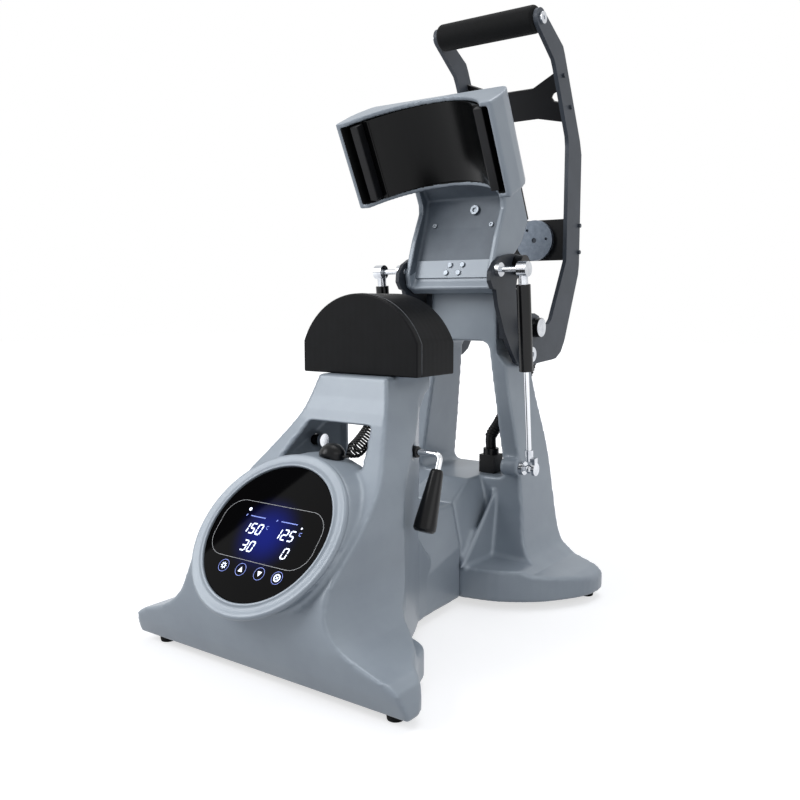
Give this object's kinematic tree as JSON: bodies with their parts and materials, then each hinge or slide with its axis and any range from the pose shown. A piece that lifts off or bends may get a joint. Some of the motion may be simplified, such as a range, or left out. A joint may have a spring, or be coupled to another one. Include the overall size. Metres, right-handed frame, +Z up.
{
  "type": "cap heat press",
  "caption": "Bench heat press for caps: domed lower platen on a pedestal, curved upper platen on a lever arm with gas springs and a tall folding handle.",
  "frame": {"origin": "on the floor under the middle of the machine's box", "axes": "+X to the right seen from the front, +Y to the back, +Z up"},
  "size_m": [0.3232, 0.5316, 0.6515],
  "materials": {
    "grey_paint": "silver-grey painted casting",
    "dark_steel": "dark slate powder coat",
    "black_steel": "black coat",
    "bright_steel": "plated",
    "black_rubber": "matt",
    "black_plastic": "moulded",
    "bronze": "turned",
    "heater_alloy": "black coated",
    "wool": "fibre wool",
    "board": "circuit board",
    "panel_glass": "black glass",
    "red_plastic": "moulded"
  },
  "bodies": {
    "base": {"front_casting": "grey_paint", "rear_casting": "grey_paint", "bottom_cover_front": "black_steel", "bottom_cover_rear": "black_steel", "bottom_screws": "bright_steel", "rubber_feet": "black_rubber", "frame_bolts": "bright_steel", "display_bezel": "grey_paint", "display_glass": "panel_glass", "control_board": "board", "lever_bushes": "black_plastic", "lead_socket": "black_plastic", "curly_lead": "black_rubber", "platen_bracket": "bright_steel", "lower_heater": "heater_alloy", "lower_pad": "black_rubber", "platen_screws": "bright_steel", "pivot_shaft": "bright_steel", "pivot_bushes": "bronze", "pivot_washers": "bronze", "guide_bracket_left": "dark_steel", "guide_bracket_right": "dark_steel", "lower_ball_studs": "bright_steel", "conduit_gland": "black_plastic", "conduit": "black_plastic", "power_inlet": "black_plastic", "power_board": "board"},
    "rocker": {"power_rocker": "red_plastic"},
    "lever_left_body": {"lever_left": "bright_steel", "lever_grip_left": "black_plastic"},
    "lever_right_body": {"lever_right": "bright_steel", "lever_grip_right": "black_plastic"},
    "arm": {"arm_casting": "grey_paint", "arm_plate_left": "dark_steel", "arm_plate_right": "dark_steel", "upper_heater": "heater_alloy", "heater_insulation": "wool", "heater_end_bars": "heater_alloy", "neck_cover": "grey_paint", "arm_screws": "bright_steel", "upper_ball_studs": "bright_steel", "arm_plate_bolts": "black_steel", "electromagnet": "bright_steel", "magnet_base": "dark_steel"},
    "handle": {"handle_plate_left": "dark_steel", "handle_plate_right": "dark_steel", "grip": "black_rubber", "grip_rod": "bright_steel", "cross_plate": "black_steel", "cross_bar": "black_steel", "strike_disc": "bright_steel", "handle_pivot_bolts": "bright_steel", "cam_rollers": "bright_steel", "handle_screws": "bright_steel"},
    "gas_tubes": {"gas_tube_left": "black_steel", "gas_tube_right": "black_steel", "gas_top_sockets": "bright_steel"},
    "gas_rods": {"gas_rod_left": "bright_steel", "gas_rod_right": "bright_steel", "gas_bottom_sockets": "bright_steel"}
  },
  "joints": [
    {"name": "arm_hinge", "type": "hinge", "parent": "base", "child": "arm", "pos_m": [0, 0.1333, 0.318], "axis": [1, 0, 0], "range_deg": [0, 63.43], "stiffness_Nm_per_rad": 2, "springref_deg": -171.89},
    {"name": "handle_hinge", "type": "hinge", "parent": "arm", "child": "handle", "pos_m": [0, 0.1413, 0.269], "axis": [1, 0, 0], "range_deg": [0, 26.58]},
    {"name": "gas_tube_pivot", "type": "hinge", "parent": "arm", "child": "gas_tubes", "pos_m": [0, 0.0753, 0.362], "axis": [1, 0, 0], "range_deg": [-57.4, 0]},
    {"name": "gas_rod_slide", "type": "slide", "parent": "gas_tubes", "child": "gas_rods", "axis": [0, -0.1034, 0.9946], "range_m": [0, 0.0744]},
    {"name": "lever_left_hinge", "type": "hinge", "parent": "base", "child": "lever_left_body", "pos_m": [-0.06, -0.079, 0.1885], "axis": [1, 0, 0], "range_deg": [0, 80]},
    {"name": "lever_right_hinge", "type": "hinge", "parent": "base", "child": "lever_right_body", "pos_m": [0.06, -0.079, 0.1885], "axis": [1, 0, 0], "range_deg": [0, 80]},
    {"name": "power_rocker_hinge", "type": "hinge", "parent": "base", "child": "rocker", "pos_m": [0, 0.186, 0.081], "axis": [1, 0, 0], "range_deg": [0, 10]}
  ],
  "couplings": [
    {"joint": "handle_hinge", "follows": "arm_hinge", "ratio": 0.4188},
    {"joint": "gas_tube_pivot", "follows": "arm_hinge", "ratio": -0.9032},
    {"joint": "gas_rod_slide", "follows": "arm_hinge", "m_per_rad": 0.06704}
  ]
}
